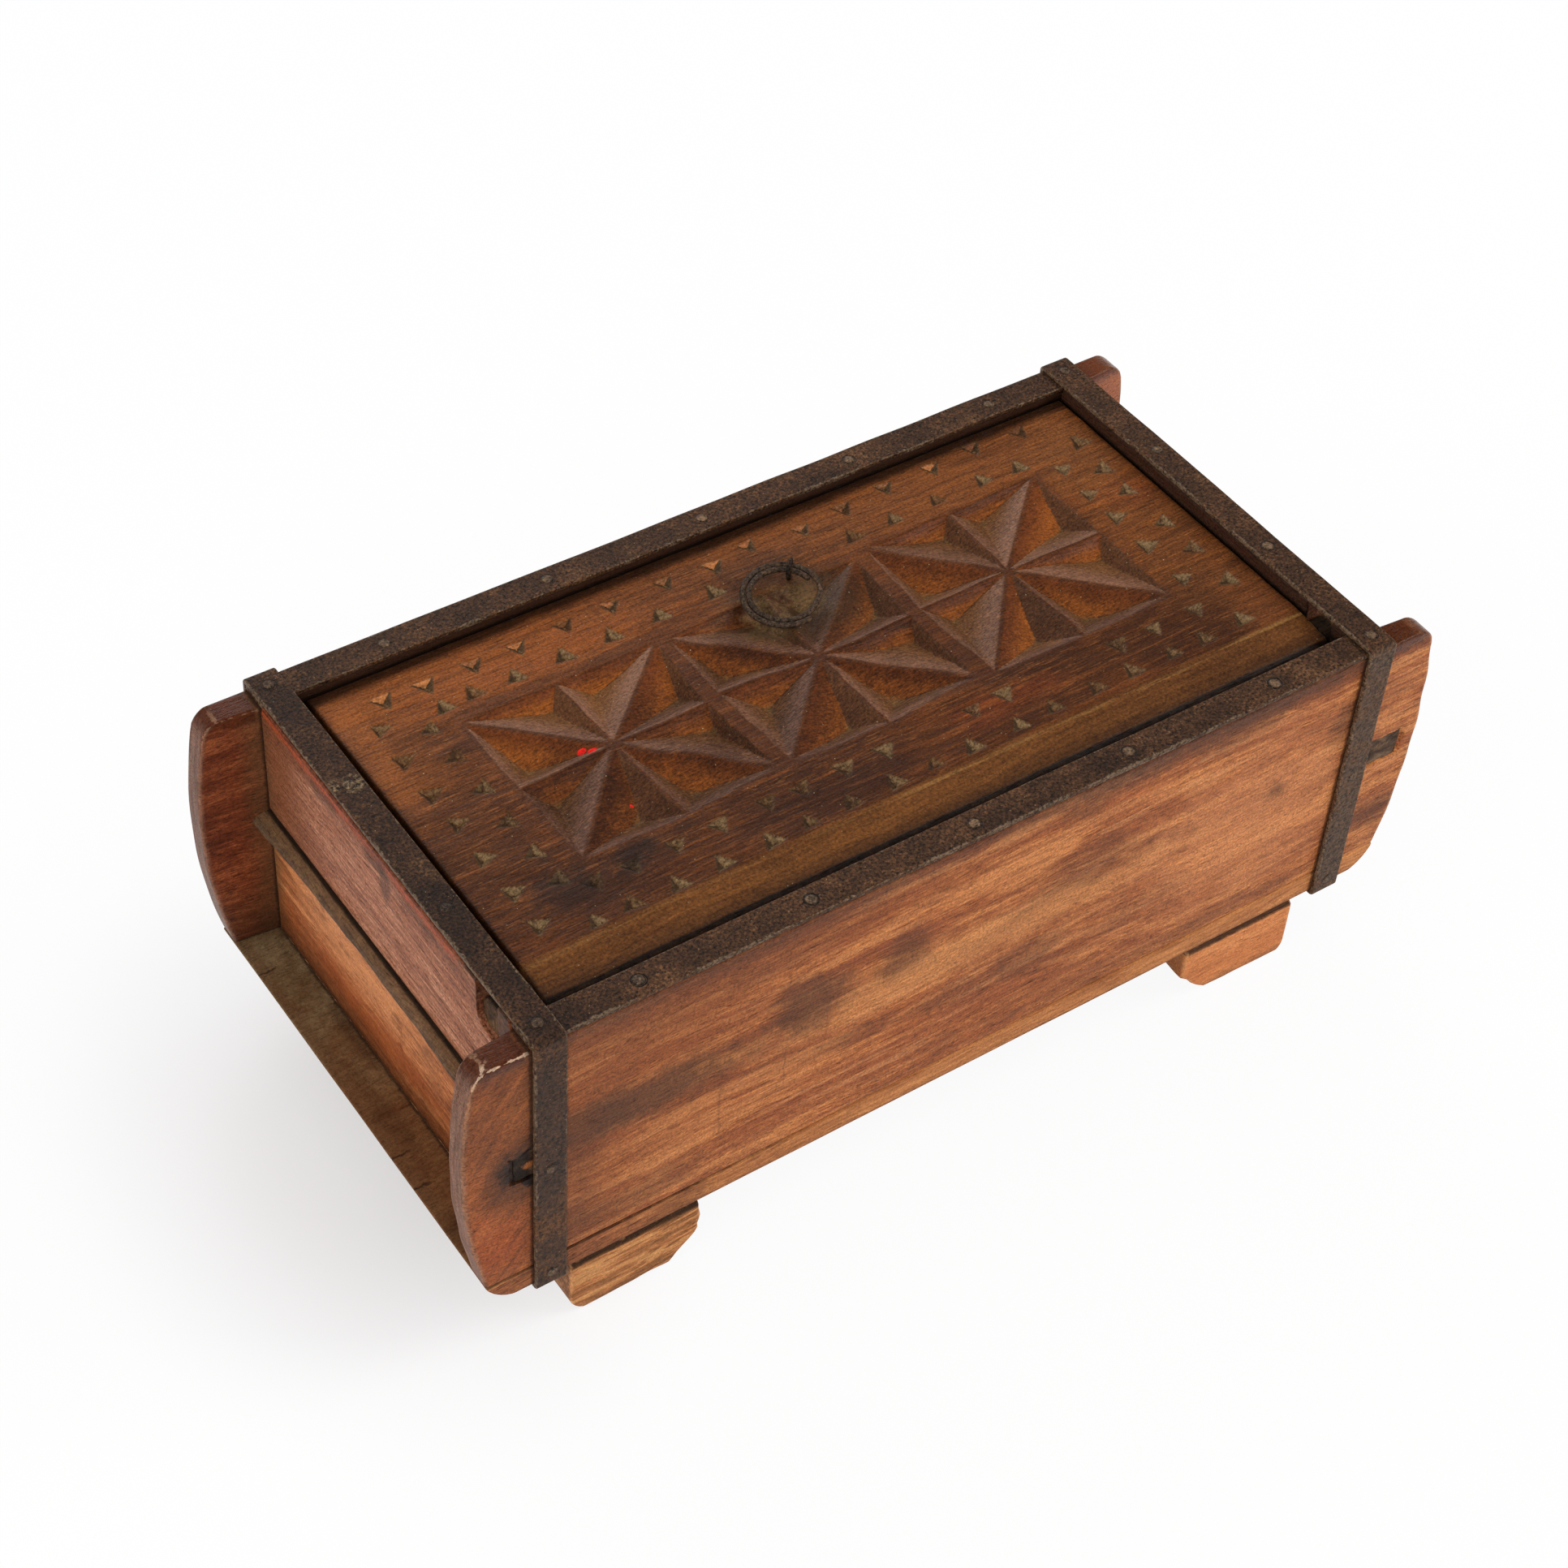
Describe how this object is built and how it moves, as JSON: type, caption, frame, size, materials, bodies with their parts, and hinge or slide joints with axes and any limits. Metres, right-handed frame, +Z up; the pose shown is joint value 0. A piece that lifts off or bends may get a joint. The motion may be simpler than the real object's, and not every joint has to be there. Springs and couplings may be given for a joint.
{
  "type": "lidded mould box",
  "caption": "Long wooden box on block feet, bound with flat iron straps, with projecting side ears and a chip-carved lid that turns on wooden pegs and has a wire ring pull.",
  "frame": {"origin": "on the ground under the middle of the box, in the plane of the feet's undersides", "axes": "+X along the box towards the picture's right, +Y from the pivot side to the side the lid opens at, +Z up"},
  "size_m": [0.3164, 0.1504, 0.1199],
  "materials": {
    "side_wood": "old rubbed varnish",
    "bottom_wood": "worn and dusty",
    "end_wood": "worn",
    "rail_wood": "dusty",
    "foot_wood": "worn",
    "lid_wood": "dark varnish",
    "peg_wood": "bare end grain",
    "strap_iron": "dark aged iron with rubbed edges",
    "nail_iron": "dark aged iron",
    "wire_iron": "dark drawn wire"
  },
  "bodies": {
    "case": {"side_board_front": "side_wood", "side_board_rear": "side_wood", "bottom_board": "bottom_wood", "end_board_upper_left": "end_wood", "end_board_upper_right": "end_wood", "end_board_lower_left": "end_wood", "end_board_lower_right": "end_wood", "end_rail_left": "rail_wood", "end_rail_right": "rail_wood", "lid_rest": "end_wood", "foot_front_left": "foot_wood", "foot_front_right": "foot_wood", "foot_rear_left": "foot_wood", "foot_rear_right": "foot_wood", "strap_cross_left": "strap_iron", "strap_cross_right": "strap_iron", "strap_long_front": "strap_iron", "strap_long_rear": "strap_iron", "strap_nails": "nail_iron", "case_nails": "nail_iron", "bottom_nails": "nail_iron", "foot_nails": "nail_iron", "rest_nails": "nail_iron"},
    "lid": {"lid_board": "lid_wood", "pivot_peg_left": "peg_wood", "pivot_peg_right": "peg_wood", "lid_staple": "wire_iron"},
    "ring": {"ring_pull": "wire_iron"}
  },
  "joints": [
    {"name": "lid_pivot", "type": "hinge", "parent": "case", "child": "lid", "pos_m": [0, -0.053, 0.107], "axis": [1, 0, 0], "range_deg": [0, 109]},
    {"name": "ring_swing", "type": "hinge", "parent": "lid", "child": "ring", "pos_m": [0.0125, 0.0385, 0.1169], "axis": [-0.7193, 0.6947, 0], "range_deg": [0, 193]}
  ]
}
